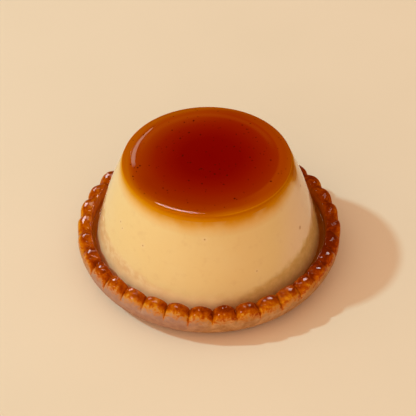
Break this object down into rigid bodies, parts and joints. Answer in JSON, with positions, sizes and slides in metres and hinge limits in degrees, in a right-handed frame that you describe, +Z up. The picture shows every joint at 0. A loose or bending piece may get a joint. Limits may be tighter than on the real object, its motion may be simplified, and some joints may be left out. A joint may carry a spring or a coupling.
{
  "type": "caramel pudding",
  "caption": "Moulded custard pudding with a glossy caramel top, standing in a shallow baked pastry tart shell with a beaded rim.",
  "frame": {"origin": "middle of the flat base of the tart shell", "axes": "+Z up, the pudding's upright axis; -Y towards the side that is seen first"},
  "size_m": [0.079, 0.0789, 0.0368],
  "materials": {
    "baked_pastry": "golden brown baked crust, glazed on its beads and dry below them",
    "set_custard": "smooth moist set custard",
    "set_caramel": "wet, glassy dark caramel that turns amber at its edge"
  },
  "bodies": {
    "root": {"tart_shell": "baked_pastry", "custard": "set_custard", "caramel": "set_caramel"}
  },
  "joints": []
}
